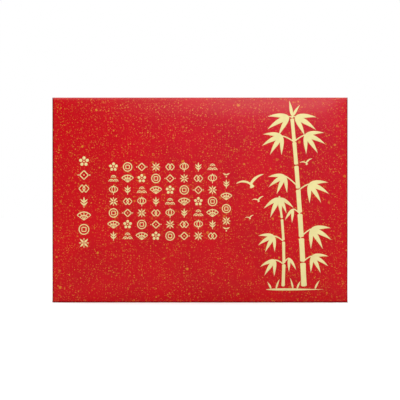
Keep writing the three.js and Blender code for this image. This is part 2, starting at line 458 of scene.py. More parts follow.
def flap_plan():
    """The flap's outline filled with a grid, as X and Z: slanted sides that run into a corner's
    arc, and an arched lower edge that touches both corners. Its root ends a hair below the
    fold, so that the opened flap and the front don't overlap."""
    root_height = TOP - HAIR_GAP
    edge_end = SIDE - FLAP_TAPER
    end_height = FLAP_EDGE + FLAP_RISE
    slant = np.array([FLAP_TAPER, TOP - end_height])
    slant /= np.linalg.norm(slant)
    arch_radius = (edge_end**2 + FLAP_RISE**2) / (2 * FLAP_RISE)
    arch_centre = np.array([0, FLAP_EDGE + arch_radius])

    # The corner's centre lies one corner radius from the slant, and slides along it until it is
    # one corner radius inside the arch
    corner = np.array([edge_end, end_height]) + FLAP_CORNER * np.array([-slant[1], slant[0]])
    offset = corner - arch_centre
    along = offset @ slant
    reach = math.sqrt(along**2 - offset @ offset + (arch_radius - FLAP_CORNER) ** 2)
    corner = corner - (along + reach) * slant

    slant_angle = math.atan2(-slant[0], slant[1])
    arch_angle = math.atan2(corner[1] - arch_centre[1], corner[0])
    turn = np.linspace(slant_angle, arch_angle, 22)
    arc = corner + FLAP_CORNER * stacked(np.cos(turn), np.sin(turn))
    straight = np.linspace([SIDE, root_height], arc[0], 40, endpoint=False)
    right = np.concatenate([straight, arc])
    sweep = np.linspace(-math.pi - arch_angle, arch_angle, 90)
    edge = arch_centre + arch_radius * stacked(np.cos(sweep), np.sin(sweep))
    root = np.linspace([-SIDE, root_height], [SIDE, root_height], len(edge))
    return coons(right * [-1, 1], right, root, edge)


def flap_bow(z):
    """How far the flap stands out at Z: the lip below the tape curls out by t^2."""
    lip = np.clip((LINER_LOW[2] - z) / (LINER_LOW[2] - FLAP_EDGE), 0, 1)
    return bpy.context.scene.envelope_card.flap_lift * lip**2


def make_flap_sheet(finishes):
    plan = flap_plan()
    x, z = plan[..., 0], plan[..., 1]
    printed = stacked(x, FLAP_FACE + flap_bow(z), z)
    flat = stacked(x, 2 * TOP + FLAP_FOLD_RADIUS * math.pi - z)
    piece = card_piece("flap_sheet", printed, printed - [0, CARD, 0], flat, finishes)
    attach(piece, "flap")
    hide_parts("closure_flap")


def make_flap_fold(finishes):
    """The upper fold: half a circle over the envelope, bent between the front and the flap."""
    x = np.linspace(-WIDTH / 2, WIDTH / 2, 120)
    outer, normal, flat = half_round(x, FLAP_FACE, TOP, way=1, steps=25)
    piece = card_piece("flap_fold_strip", outer, outer - CARD * normal, flat, finishes)
    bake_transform(piece)
    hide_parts("flap_fold")


# Tape and liner

LINER_TAIL = 9 * MM
TAIL_CURL = 0.12 * MM
TAPE_ASLANT = 0.4 * MM
TAPE_WAVER = 0.12 * MM

# The waver's radians per metre along the tape, and how far it differs between its long edges
WAVER_RATE = 410
WAVER_LAG = 2.4


def strip_piece(name, facing_pocket, thickness, finish):
    """A strip of one thickness on the flap's inner side: a grid of points on its side towards
    the pocket, and the same grid moved towards the flap."""
    facing_flap = facing_pocket + [0, thickness, 0]
    return card_piece(name, facing_pocket, facing_flap, facing_pocket[..., [0, 2]], [finish] * 3)


def make_liner(finish):
    """The release liner: a thin strip a hair off its tape, with rounded corners, whose pull tail
    curls away from the flap by t^2."""
    left, near, low = LINER_LOW
    right, far, high = LINER_HIGH
    x = dense_at_ends(left, right, 60, fine=LINER_TAIL, fine_count=16)
    into_corner = np.abs(x - (left + right) / 2) - (right - left) / 2 + LINER_CORNER
    arc = np.sqrt(LINER_CORNER**2 - np.clip(into_corner, 0, LINER_CORNER) ** 2)
    z = (low + high) / 2 + np.linspace(-1, 1, 12)[:, None] * ((high - low) / 2 - LINER_CORNER + arc)
    y = near - TAIL_CURL * np.clip((x - (right - LINER_TAIL)) / LINER_TAIL, 0, 1) ** 2
    piece = strip_piece("liner_strip", stacked(x, y, z), far - near - HAIR_GAP, finish)
    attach(piece, "liner")
    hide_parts("tape_liner")


def make_tape(finish):
    """The sealing tape: a film whose long edges waver by a sine and whose ends are cut a little
    aslant."""
    left, near, low = TAPE_LOW
    right, far, high = TAPE_HIGH
    along = dense_at_ends(-1, 1, 120, fine=0.02, fine_count=6)
    across = np.linspace(-1, 1, 9)[:, None]
    x = (left + right) / 2 + along * ((right - left) / 2 - TAPE_ASLANT * (1 + across) / 2)
    waver = TAPE_WAVER * (1 + np.sin(WAVER_RATE * x + WAVER_LAG * across)) / 2
    z = (low + high) / 2 + across * ((high - low) / 2 - waver)
    piece = strip_piece("tape_strip", stacked(x, near, z), far - near, finish)
    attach(piece, "flap")
    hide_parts("flap_tape")


# Foil strokes

# Points along a stroke
FINE_STEPS = 9
BOLD_STEPS = 22

# A stroke's section, square to its path: shares of the half width, each with its share of the
# foil's height. The last two points are the foil's bed in the card.
FINE_SECTION = [(-1, 0.25), (-0.85, 1), (0.85, 1), (1, 0.25), (1, 0), (-1, 0)]
BOLD_SECTION = [(-1, 0.2), (-0.94, 0.8), (-0.6, 1), (0.6, 1), (0.94, 0.8), (1, 0.2), (1, 0), (-1, 0)]

# Heights that crossing strokes take by turns, and the share by which each is above the last
LAYERS = 12
LAYER_RISE = 0.035


def foil_piece(name, strokes, section, finish, lowest=0):
    """Foil strokes on the printed face. Each is a path with a half width at each of its points,
    and a flat section with rounded shoulders is carried along it. Strokes that cross lie in
    layers that differ a little in height: the first ones, which don't cross each other, in the
    lowest, and the rest by turns in the others."""
    foil = bpy.context.scene.envelope_foil
    path = np.array([stroke[0] for stroke in strokes])
    half_width = np.array([stroke[1] for stroke in strokes])
    along = np.gradient(path, axis=1)
    along /= np.linalg.norm(along, axis=-1, keepdims=True)
    side = stacked(-along[..., 1], along[..., 0])
    share, rise = np.array(section, dtype=float).T
    plan = path[:, :, None] + share[:, None] * half_width[:, :, None, None] * side[:, :, None]
    number = np.arange(len(strokes))
    layer = 1 + LAYER_RISE * np.where(number < lowest, 0, 1 + number % LAYERS)
    height = np.where(rise > 0, rise * foil.lift, -foil.bed) * layer[:, None, None]
    x, z = plan[..., 0], plan[..., 1]
    points = stacked(x, FRONT_FACE - face_bow(x, z) - height, z).reshape(-1, 3)

    count, steps, ring = x.shape
    first = np.arange(count)[:, None, None] * steps * ring
    row = first + np.arange(steps - 1)[:, None] * ring
    lower = row + np.arange(ring)
    onward = row + (np.arange(ring) + 1) % ring
    quads = stacked(lower, onward, onward + ring, lower + ring).reshape(-1, 4)
    starts = first[:, 0] + np.arange(ring)[::-1]
    ends = first[:, 0] + (steps - 1) * ring + np.arange(ring)
    faces = quads.tolist() + starts.tolist() + ends.tolist()
    if signed_volume(points, quads) < 0:
        faces = [face[::-1] for face in faces]
    piece = new_piece(name, points, faces, [finish], crease=math.radians(50))
    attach(piece, "packet")


def heading(degrees):
    """The unit vector at an angle from +X towards +Z."""
    return np.array([math.cos(math.radians(degrees)), math.sin(math.radians(degrees))])


def eased(count):
    """Steps from 0 to 1, closer together at both ends: half of 1 - cos."""
    return (1 - np.cos(np.linspace(0, math.pi, count))) / 2


def bezier(start, bend, end, t):
    """The points (1-t)^2 start + 2t(1-t) bend + t^2 end of a curve."""
    t = t[:, None]
    return (1 - t) ** 2 * start + 2 * t * (1 - t) * bend + t**2 * end


def even_stroke(path, width):
    """A stroke of one width with round ends: within half a width of an end, the half width
    follows a quarter circle, which stops short of a point."""
    lengths = np.linalg.norm(np.diff(path, axis=0), axis=1)
    run = np.concatenate([[0], np.cumsum(lengths)])
    half = width / 2
    missing = np.clip(half - np.minimum(run, run[-1] - run), 0, 0.98 * half)
    return path, np.sqrt(half**2 - missing**2)


def bar(start, end, width):
    """A fine straight stroke."""
    start, end = np.array([start, end])
    return even_stroke(start + eased(FINE_STEPS)[:, None] * (end - start), width)


def arc(centre, radius, first, last, width, stretch=1.0):
    """A fine stroke round a centre between two angles, on a circle or one drawn out along X."""
    angle = np.radians(first + eased(FINE_STEPS) * (last - first))
    return even_stroke(centre + radius * stacked(stretch * np.cos(angle), np.sin(angle)), width)


def petal(base, degrees, length, width):
    """A fine oval stroke: the half width follows half an ellipse, with blunt ends."""
    t = eased(FINE_STEPS)
    half_width = width / 2 * np.sqrt(np.clip(1 - (2 * t - 1) ** 2, 0.01, None))
    return base + t[:, None] * length * heading(degrees), half_width


def leaf(base, degrees, length, width, steps=FINE_STEPS, droop=0.0):
    """A leaf from its base, widest a third of the way along, where sin(pi t^0.62) is highest.
    It arches upwards and hangs over by a share of its length, the more the more level it is, and
    its ends are blunt."""
    t = eased(steps)
    direction = heading(degrees)
    sideways = np.array([-direction[1], direction[0]]) * direction[0]
    arch = 4 * t * (1 - t) * droop * length
    path = base + t[:, None] * length * direction + arch[:, None] * sideways
    return path, width / 2 * np.clip(np.sin(math.pi * t**0.62), 0.03, None)


# Foil gulls

# Each gull: the pixel at its middle, its span in pixels, and its weight, more for a small one
GULLS = [
    (249.8, 181.5, 27.5, 1.0),
    (305.8, 161.9, 12.5, 1.25),
    (257.8, 199.2, 11.5, 1.25),
    (249.3, 217.2, 8.6, 1.25),
]

# A gull's strokes as shares of its span: three points of a curve, places along it, and the half
# width at each. The wings, one level and one raised, thin to their tips, and the body widens to
# its tail.
GULL_STROKES = [
    ([(-0.49, -0.075), (-0.21, 0.0875), (0.03, -0.10)], [0, 0.1, 0.5, 1], [0.006, 0.02, 0.036, 0.034]),
    ([(0.03, -0.10), (0.17, 0.18), (0.50, 0.264)], [0, 0.4, 0.9, 1], [0.045, 0.05, 0.02, 0.004]),
    ([(0.03, -0.05), (0.055, -0.13), (0.10, -0.225)], [0, 0.45, 0.85, 1], [0.045, 0.045, 0.088, 0.06]),
]


def gull_strokes():
    t = eased(BOLD_STEPS)
    strokes = []
    for column, row, pixels, weight in GULLS:
        span = pixels * PIXEL
        for curve, along, half_widths in GULL_STROKES:
            path = bezier(*(place(column, row) + span * np.array(curve)), t)
            strokes.append((path, weight * span * np.interp(t, along, half_widths)))
    return strokes


# Foil bamboo

# Each stalk: its foot, bend and tip as pixels, its width at foot and tip, and its internodes
TALL_STALK = ([(304, 287), (300, 200), (292, 118)], 3.2 * MM, 2.1 * MM, 7)
SLIM_STALK = ([(283, 287), (286, 240), (279, 197)], 1.9 * MM, 1.3 * MM, 4)
JOINT_GAP = 0.35 * MM

# Each spray: the stalk's joint and the twig's tip as pixels, the heading of its middle leaf in
# degrees, the number of leaves, and the longest leaf in millimetres
SPRAYS = [
    ((292, 118), (292, 116), 100, 1, 9.5),
    ((292, 118), (293, 116), 58, 1, 8),
    ((292, 118), (289, 117), 210, 3, 15),
    ((292, 118), (295, 117), -32, 3, 15),
    ((294, 142), (282, 136), 222, 4, 14.5),
    ((294, 142), (305, 135), -40, 4, 14.5),
    ((297, 186), (285, 176), 230, 4, 13),
    ((298, 191), (309, 184), -42, 4, 14.5),
    ((279, 197), (279, 198), 246, 3, 13),
    ((279, 197), (280, 198), -52, 2, 11),
    ((300, 238), (311, 229), -44, 4, 15),
    ((300, 214), (293, 209), 250, 2, 9),
    ((283, 241), (274, 236), 226, 4, 12),
    ((283, 264), (289, 258), -75, 2, 9),
    ((303, 262), (312, 256), -48, 4, 12.5),
    ((283, 264), (275, 260), 236, 3, 11.5),
]
TWIG_WIDTH = 0.7 * MM

# Degrees between two leaves of a spray, a leaf's width as a share of its length, the share of
# the longest leaf's length that each step from the middle takes away, and how far a leaf droops
LEAF_SPACING = 31
LEAF_SLENDERNESS = 0.205
LEAF_LOSS = 0.13
LEAF_DROOP = 0.06

# Each blade of grass: its foot's column, its heading in degrees and its length in millimetres
GRASS = [(271, 118, 5), (276, 70, 6.5), (293, 105, 7), (297, 66, 5.5), (315, 62, 6)]
GRASS_ROW = 289
GRASS_WIDTH = 1.1 * MM
GRASS_DROOP = 0.1
GROUND = [(266, 289.5), (324, 289.5)]
GROUND_WIDTH = 1.3 * MM


def internode(start, end, width):
    """A stretch of stalk between two joints. Its width swells towards both ends by the sixth
    power of the distance t from its middle, and the root of 1 - t^24 rounds its corners."""
    t = 2 * eased(BOLD_STEPS) - 1
    rounded = np.sqrt(np.clip(1 - np.abs(t) ** 24, 0.2, None))
    path = (start + end) / 2 + t[:, None] * (end - start) / 2
    return path, width / 2 * rounded * (1 + 0.25 * t**6)


def stalk(points, foot_width, tip_width, count):
    """A bamboo stalk along a bent line, cut into a number of internodes with a short gap at each
    joint between them."""
    line = bezier(*(place(*point) for point in points), np.linspace(0, 1, count + 1))
    widths = np.linspace(foot_width, tip_width, count)
    strokes = []
    for low, high, width in zip(line[:-1], line[1:], widths):
        inset = JOINT_GAP * (high - low) / np.linalg.norm(high - low)
        strokes.append(internode(low + inset, high - inset, width))
    return strokes


def spray(joint, tip, middle, count, longest):
    """A twig that leaves a stalk's joint, and leaves that fan out from the twig's tip. The
    middle leaves are the longest."""
    joint, tip = place(*joint), place(*tip)
    twig = bezier(joint, (joint + tip) / 2 + [0, MM], tip, eased(BOLD_STEPS))
    strokes = [even_stroke(twig, TWIG_WIDTH)]
    for number in range(count):
        offset = number - (count - 1) / 2
        length = longest * MM * (1 - LEAF_LOSS * abs(offset))
        degrees = middle + LEAF_SPACING * offset
        strokes.append(leaf(tip, degrees, length, length * LEAF_SLENDERNESS, BOLD_STEPS, LEAF_DROOP))
    return strokes


def foliage_strokes():
    """The sprays, and blades of grass on a line of ground."""
    strokes = [stroke for numbers in SPRAYS for stroke in spray(*numbers)]
    for column, degrees, length in GRASS:
        foot = place(column, GRASS_ROW)
        strokes.append(leaf(foot, degrees, length * MM, GRASS_WIDTH, BOLD_STEPS, GRASS_DROOP))
    start, end = (place(*point) for point in GROUND)
    strokes.append(leaf(start, 0, end[0] - start[0], GROUND_WIDTH, BOLD_STEPS))
    return strokes


# Small foil ornaments. Each kind is drawn round the middle with a radius of 1, and the width of
# its lines is a share of that radius.


def outline(corners, line):
    """Bars round a closed row of corners."""
    return [bar(a, b, line) for a, b in zip(corners, np.roll(corners, -1, axis=0))]


def dot(x, z, size):
    """A round dot about a point."""
    return petal((x - size / 2, z), 0, size, size)


def blossom(line):
    """Plum blossom: five oval petals round a dot."""
    petals = [petal(0.34 * heading(degrees), degrees, 0.64, 0.6) for degrees in range(90, 450, 72)]
    return petals + [dot(0, 0, 0.3)]


def star(line):
    """Four slender leaves along the diagonals, with a short bar between each two."""
    strokes = []
    for degrees in range(0, 360, 90):
        strokes.append(leaf(0.1 * heading(degrees + 45), degrees + 45, 1.05, 0.34))
        strokes.append(bar(0.45 * heading(degrees), 0.95 * heading(degrees), 0.85 * line))
    return strokes


def coin(line):
    """Old coin: a ring round a square hole."""
    ring = [arc((0, 0), 0.95, first, first + 130, line) for first in (0, 120, 240)]
    return ring + outline(0.4 * np.array([(1, 1), (-1, 1), (-1, -1), (1, -1)]), 0.85 * line)


def lozenge(line):
    """A lozenge with a dot in its middle and one at each side."""
    corners = 0.85 * np.array([(1, 0), (0, 1), (-1, 0), (0, -1)])
    return outline(corners, line) + [dot(x, 0, 0.24) for x in (0, 1.12, -1.12)]


def linked_lozenges(line):
    """Two lozenges side by side that overlap."""
    corners = 0.62 * np.array([(1, 0), (0, 1.2), (-1, 0), (0, -1.2)])
    return outline(corners - [0.36, 0], 0.9 * line) + outline(corners + [0.36, 0], 0.9 * line)


def lantern(line):
    """Round lantern: its outline and two ribs between a cap and a foot, with a loop's bar above
    and a tassel below."""
    strokes = []
    for stretch in (1.5, 0.55):
        for first in (-62, 118):
            strokes.append(arc((0, 0.12), 0.62, first, first + 124, 0.85 * line, stretch))
    for height, reach in ((0.74, 1.07), (-0.5, -1.08)):
        strokes.append(bar((-0.48, height), (0.48, height), line))
        strokes.append(bar((0, height), (0, reach), 0.85 * line))
    return strokes


def scales(line):
    """Sea scales: a double arch over two more."""
    feet = ((0, 0.15), (-0.5, -0.7), (0.5, -0.7))
    return [arc(foot, radius, 0, 180, 0.85 * line) for foot in feet for radius in (0.52, 0.2)]


def fan(line):
    """Folding fan: ribs from one rivet, with an arc across their ends and one half way."""
    rivet = np.array([0, -0.85])
    ribs = [bar(rivet, rivet + 1.55 * heading(degrees), 0.7 * line) for degrees in range(36, 145, 27)]
    return ribs + [arc(rivet, radius, 34, 146, line) for radius in (1.6, 0.95)]


def sprig(line):
    """An upright stem with two pairs of slender leaves and one at its tip."""
    strokes = [bar((0, -1.05), (0, 0.2), 0.8 * line), leaf((0, 0.2), 90, 0.85, 0.3)]
    return strokes + [leaf((0, z), degrees, 1, 0.28) for z in (-0.6, -0.05) for degrees in (42, 138)]


def finial(line):
    """Two leaves that lean apart over a dot."""
    return [leaf((0, 0), 25, 1, 0.34), leaf((0, 0), 155, 1, 0.34), dot(0, -0.45, 0.36)]


ORNAMENTS = [blossom, lantern, coin, sprig, lozenge, scales, star, fan, linked_lozenges]

# The ornaments' centres and radii as pixels: a block, a short column to its right with a finial
# at each end, and a taller column to its left
BLOCK_COLUMNS = np.linspace(113.5, 212.5, 8)
BLOCK_ROWS = np.linspace(167, 236, 7)
BLOCK_RADIUS = 4.5
RIGHT_COLUMN = 226.3
RIGHT_ROWS = np.linspace(184, 221, 4)
RIGHT_RADIUS = 4.3
FINIAL_ROWS = (175, 229)
FINIAL_RADIUS = 4.0
LEFT_COLUMN = 84
LEFT_ROWS = np.linspace(161.5, 243, 7)
LEFT_RADIUS = 5.2


def ornament_column(column, rows, radius, first, step, kinds=ORNAMENTS):
    """A column of ornaments: the first row has the kind of the first number, and each row below
    has the kind a step further on, round and round."""
    size = radius * PIXEL
    line = bpy.context.scene.envelope_foil.line / size
    strokes = []
    for number, row in enumerate(rows):
        draw = kinds[(first + step * number) % len(kinds)]
        strokes += [(place(column, row) + size * path, size * half) for path, half in draw(line)]
    return strokes


def ornament_strokes():
    """Small ornaments in rows and columns. Along the block's rows each place takes the next kind
    but one and down its columns the fifth next, so that no two alike are neighbours."""
    strokes = []
    for number, column in enumerate(BLOCK_COLUMNS):
        strokes += ornament_column(column, BLOCK_ROWS, BLOCK_RADIUS, first=2 * number, step=5)
    strokes += ornament_column(RIGHT_COLUMN, RIGHT_ROWS, RIGHT_RADIUS, first=3, step=4)
    strokes += ornament_column(RIGHT_COLUMN, FINIAL_ROWS, FINIAL_RADIUS, first=0, step=1, kinds=[finial])
    return strokes + ornament_column(LEFT_COLUMN, LEFT_ROWS, LEFT_RADIUS, first=0, step=4)


# Finishes


def colour(rgb):
    return (*rgb, 1.0)


def chosen(name):
    """One of the colours in the settings, as an array."""
    return np.array(getattr(bpy.context.scene.envelope_colours, name))


class NodeMaker:
    """Adds nodes to one node tree and joins them."""

    def __init__(self, tree):
        self.tree = tree

    def add(self, kind, inputs=None, **settings):
        node = self.tree.nodes.new(kind)
        for key, value in settings.items():
            setattr(node, key, value)
        for key, value in (inputs or {}).items():
            self.set(node.inputs[key], value)
        return node

    def set(self, socket, value):
        if isinstance(value, bpy.types.NodeSocket):
            self.tree.links.new(value, socket)
        else:
            socket.default_value = value

    def split(self, vector):
        """A vector's X, Y and Z."""
        return self.add("ShaderNodeSeparateXYZ", {0: vector}).outputs


class FinishMaker(NodeMaker):
    """Adds the nodes of one finish."""

    def __init__(self, name):
        self.material = bpy.data.materials.new(name)
        self.material.use_nodes = True
        super().__init__(self.material.node_tree)
        self.shader = self.tree.nodes["Principled BSDF"]
        self.place = self.add("ShaderNodeTexCoord").outputs["Object"]

    def flat(self):
        """A point's place on the unfolded sheet."""
        return self.add("ShaderNodeUVMap", uv_map=FLAT_MAP).outputs["UV"]

    def math(self, operation, a, b):
        return self.add("ShaderNodeMath", {0: a, 1: b}, operation=operation).outputs[0]

    def ramp(self, value, low, high, to_low=0.0, to_high=1.0):
        """The value eased from one range to another, and held at its ends."""
        inputs = {"Value": value, "From Min": low, "From Max": high, "To Min": to_low, "To Max": to_high}
        return self.add("ShaderNodeMapRange", inputs, interpolation_type="SMOOTHSTEP").outputs["Result"]

    def mix(self, factor, a, b):
        inputs = {"Factor": factor, "A": a, "B": b}
        return self.add("ShaderNodeMix", inputs, data_type="RGBA").outputs["Result"]

    def two_tone(self, value, low, high, first, second):
        """The first colour where the value is low and the second where it is high."""
        return self.mix(self.ramp(value, low, high), colour(first), colour(second))

    def noise(self, scale, detail, roughness=0.5, where=None):
        inputs = {"Vector": where or self.place, "Scale": scale, "Detail": detail, "Roughness": roughness}
        return self.add("ShaderNodeTexNoise", inputs).outputs

    def bump(self, height, distance, strength):
        inputs = {"Height": height, "Distance": distance, "Strength": strength}
        return self.add("ShaderNodeBump", inputs).outputs["Normal"]

    def finish(self, **inputs):
        for key, value in inputs.items():
            self.set(self.shader.inputs[key.replace("_", " ")], value)
        return self.material


# Flecks of three sizes: the width of the cells that hold one each, the largest fleck's radius,
# and the share of the cells that keep theirs
FINE_FLECKS = (0.75 * MM, 0.27 * MM, 0.40)
MEDIUM_FLECKS = (1.7 * MM, 0.42 * MM, 0.46)
LARGE_FLECKS = (11.0 * MM, 1.05 * MM, 0.5)
LARGE_STRENGTH = 0.85

# The smallest fleck and the faintest one as shares of the largest and of the brightest, and the
# share of its radius up to which a fleck is whole
SMALLEST = 0.3
FAINTEST = 0.35
FLECK_CORE = 0.55

# How far the flecks' edges wander
RAGGED = 1.6 * MM

# Bands of painted shade beside the left, right and lower edge, where the folds turn away from the light:
# fully within the first distance from the edge and no longer past the second, and how dark
EDGE_SHADE_BANDS = [(0.3 * MM, 1.05 * MM, 0.9), (0.2 * MM, 0.9 * MM, 0.82), (0.4 * MM, 0.95 * MM, 0.92)]

# A painted highlight pales the upper fold, between softened borders
FOLD_HIGHLIGHT_WHITE = (0.80, 0.75, 0.75)
FOLD_HIGHLIGHT_SHARE = 0.04
BORDER_OUTSIDE = 0.4 * MM
BORDER_INSIDE = 0.5 * MM


def fleck_layer(maker, where, cell, largest, share):
    """Flecks of one size: soft discs round the cell centres of a flat Voronoi pattern, each of
    its own size, on a share of the cells."""
    inputs = {"Vector": where, "Scale": 1 / cell}
    cells = maker.add("ShaderNodeTexVoronoi", inputs, voronoi_dimensions="2D")
    chance = maker.add("ShaderNodeSeparateColor", {"Color": cells.outputs["Color"]}).outputs
    radius = maker.ramp(chance["Green"], 0.0, 1.0, SMALLEST * largest / cell, largest / cell)
    core = maker.math("MULTIPLY", radius, FLECK_CORE)
    disc = maker.ramp(cells.outputs["Distance"], core, radius, 1.0, 0.0)
    kept = maker.math("LESS_THAN", chance["Red"], share)
    strength = maker.ramp(chance["Blue"], 0.0, 1.0, FAINTEST, 1.0)
    return maker.math("MULTIPLY", maker.math("MULTIPLY", disc, kept), strength)


def gold_flecks(maker, flat):
    """How much gold shows: the strongest of fine and medium flecks, which are denser in some
    places than in others, of a few large ones, and of dust. Noise makes their edges ragged."""
    ragged = maker.noise(1200, 3.0, 0.65, flat)["Color"]
    centred = maker.add("ShaderNodeVectorMath", {0: ragged, 1: (0.5, 0.5, 0.5)}, operation="SUBTRACT")
    scaled = maker.add("ShaderNodeVectorMath", {0: centred.outputs[0], "Scale": RAGGED}, operation="SCALE")
    where = maker.add("ShaderNodeVectorMath", {0: flat, 1: scaled.outputs[0]}).outputs[0]
    fine = fleck_layer(maker, where, *FINE_FLECKS)
    medium = fleck_layer(maker, where, *MEDIUM_FLECKS)
    large = maker.math("MULTIPLY", fleck_layer(maker, where, *LARGE_FLECKS), LARGE_STRENGTH)
    dense = maker.ramp(maker.noise(190, 3.0, 0.6, flat)["Fac"], 0.38, 0.62, 0.35, 1.25)
    dust = maker.ramp(maker.noise(750, 4.0, 0.7, flat)["Fac"], 0.6, 0.85, 0.0, 0.08)
    flecks = maker.math("MULTIPLY", maker.math("MAXIMUM", fine, medium), dense)
    return maker.math("MAXIMUM", maker.math("MAXIMUM", flecks, large), dust)


def crushed(maker):
    """How far painted shade darkens the card, from 0 to 1: it rises over the last
    millimetre before the side edges and the lower edge, most at the lower one."""
    at = maker.split(maker.place)
    from_left = maker.math("ADD", at["X"], WIDTH / 2)
    from_right = maker.math("SUBTRACT", WIDTH / 2, at["X"])
    strongest = 0.0
    for distance, (full, gone, depth) in zip((from_left, from_right, at["Z"]), EDGE_SHADE_BANDS):
        strongest = maker.math("MAXIMUM", maker.ramp(distance, full, gone, depth, 0.0), strongest)
    return strongest


def stretched(maker, flat):
    """How far a painted highlight pales the card, as a share: only on the upper fold."""
    up = maker.split(flat)["Y"]
    end = TOP + FLAP_FOLD_RADIUS * math.pi
    begun = maker.ramp(up, TOP - BORDER_OUTSIDE, TOP + BORDER_INSIDE, 0.0, FOLD_HIGHLIGHT_SHARE)
    not_ended = maker.ramp(up, end - BORDER_INSIDE, end + BORDER_OUTSIDE, 1.0, 0.0)
    return maker.math("MULTIPLY", begun, not_ended)


def red_card():
    """Pearl-coated card printed red: a cloudy ground with gold flecks, with painted shade along its lower
    and side edges and a painted highlight on the upper fold. The pattern lies on the unfolded sheet."""
    maker = FinishMaker("red_card")
    flat = maker.flat()
    red = chosen("red")
    flecks = gold_flecks(maker, flat)
    cloud = maker.noise(38, 3.0, 0.5, flat)["Fac"]
    ground = maker.two_tone(cloud, 0.3, 0.7, red * 0.93, red * 1.05)
    # Painted shade: the rims darken towards a quarter of the red
    ground = maker.mix(crushed(maker), ground, colour(red * 0.25))
    painted = maker.mix(flecks, ground, colour(chosen("fleck")))
    # Painted highlight: the upper fold is mixed a little towards pale pink
    painted = maker.mix(stretched(maker, flat), painted, colour(FOLD_HIGHLIGHT_WHITE))
    grain = maker.noise(5200, 2.0, 0.6)["Fac"]
    relief = maker.math("ADD", grain, maker.math("MULTIPLY", flecks, 0.8))
    return maker.finish(
        Base_Color=painted,
        Metallic=maker.math("MULTIPLY", flecks, 0.04),
        Roughness=maker.ramp(grain, 0.2, 0.8, 0.14, 0.19),
        Normal=maker.bump(relief, 0.006 * MM, 0.35),
        Specular_IOR_Level=0.18,
        Specular_Tint=colour((0.62, 0.55, 0.56)),
    )


def card_inside():
    """Uncoated inner side: warm white with fibres and a slight mottle."""
    maker = FinishMaker("card_inside")
    base = chosen("inside")
    upright = maker.add("ShaderNodeMapping", {"Vector": maker.place, "Scale": (1.0, 1.0, 0.22)}).outputs[0]
    fibre = maker.noise(1900, 4.0, 0.7, upright)["Fac"]
    body = maker.two_tone(maker.noise(600, 3.0)["Fac"], 0.3, 0.7, base * 0.97, base * 1.02)
    return maker.finish(
        Base_Color=maker.mix(maker.ramp(fibre, 0.62, 0.74, 0.0, 0.4), body, colour(base * 0.78)),
        Roughness=maker.ramp(fibre, 0.3, 0.7, 0.78, 0.9),
        Normal=maker.bump(fibre, 0.02 * MM, 0.5),
        Specular_IOR_Level=0.25,
    )


def cut_edge():
    """Cut edge of the card: pale core with darker streaks along the plies."""
    maker = FinishMaker("cut_edge")
    plies = maker.noise(3800, 2.0)["Fac"]
    return maker.finish(
        Base_Color=maker.two_tone(plies, 0.35, 0.7, (0.74, 0.66, 0.60), (0.60, 0.36, 0.32)),
        Roughness=0.85,
        Specular_IOR_Level=0.2,
    )


def stamped_foil():
    """Hot-stamped foil: pale satin gold with a fine grain and slight mottle."""
    maker = FinishMaker("stamped_foil")
    gold = chosen("gold")
    grain = maker.noise(4200, 2.0)["Fac"]
    return maker.finish(
        Base_Color=maker.two_tone(maker.noise(260, 3.0)["Fac"], 0.3, 0.7, gold * 0.97, gold * 1.03),
        Metallic=0.25,
        Roughness=maker.ramp(grain, 0.3, 0.7, 0.45, 0.55),
        Normal=maker.bump(grain, 0.006 * MM, 0.5),
    )


def sealing_tape():
    """Adhesive film: milky and glossy, with fine wrinkles."""
    maker = FinishMaker("sealing_tape")
    wrinkle = maker.noise(420, 3.0)["Fac"]
    return maker.finish(
        Base_Color=maker.two_tone(wrinkle, 0.35, 0.65, (0.74, 0.71, 0.62), (0.83, 0.81, 0.74)),
        Roughness=maker.ramp(wrinkle, 0.3, 0.7, 0.12, 0.28),
        Normal=maker.bump(wrinkle, 0.05 * MM, 0.5),
    )


def release_paper():
    """Silicone-coated release paper: pale yellow, slightly glossy, with faint cross ribs."""
    maker = FinishMaker("release_paper")
    base = chosen("liner")
    fibre = maker.noise(900, 4.0, 0.6)["Fac"]
    waves = {"Vector": maker.place, "Scale": 240.0, "Distortion": 1.5, "Detail": 1.0}
    ribs = maker.add("ShaderNodeTexWave", waves, bands_direction="X").outputs["Fac"]
    body = maker.two_tone(fibre, 0.3, 0.7, base * 0.94, base * 1.03)
    return maker.finish(
        Base_Color=maker.mix(maker.math("MULTIPLY", ribs, 0.12), body, colour(base * 0.8)),
        Roughness=maker.ramp(fibre, 0.3, 0.7, 0.3, 0.42),
        Normal=maker.bump(ribs, 0.01 * MM, 0.5),
    )


def seam_glue():
    """Dried cold glue: off-white, uneven and satin."""
    maker = FinishMaker("seam_glue")
    lumps = maker.noise(300, 3.0)["Fac"]
    return maker.finish(
        Base_Color=maker.two_tone(lumps, 0.3, 0.7, (0.70, 0.64, 0.50), (0.84, 0.80, 0.68)),
        Roughness=maker.ramp(lumps, 0.3, 0.7, 0.3, 0.5),
        Normal=maker.bump(lumps, 0.06 * MM, 0.6),
    )


def floor_finish():
    """Plain pale floor: matt, almost white, with a very faint mottle."""
    maker = FinishMaker("floor_finish")
    mottle = maker.noise(3.0, 2.0)["Fac"]
    return maker.finish(
        Base_Color=maker.two_tone(mottle, 0.3, 0.7, (0.93, 0.93, 0.93), (0.95, 0.95, 0.95)),
        Roughness=0.9,
        Specular_IOR_Level=0.1,
    )


def finish_node(node, finish):
    """Gives a construction node that stays in view a finish of its own."""
    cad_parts[node].material_slots[0].material = finish


def shared_finish(make):
    """The finish that a function makes, made once."""
    found = bpy.data.materials.get(make.__name__)
    return found or make()


def card_finishes():
    return [shared_finish(red_card), shared_finish(card_inside), shared_finish(cut_edge)]


# Stage

WORLD_WHITE = (1, 1, 1, 1)
HORIZON_STRENGTH = 0.5
ZENITH_STRENGTH = 1.5
FLOOR_RADIUS = 9.0
FLOOR_RINGS = 24
FLOOR_SPOKES = 64

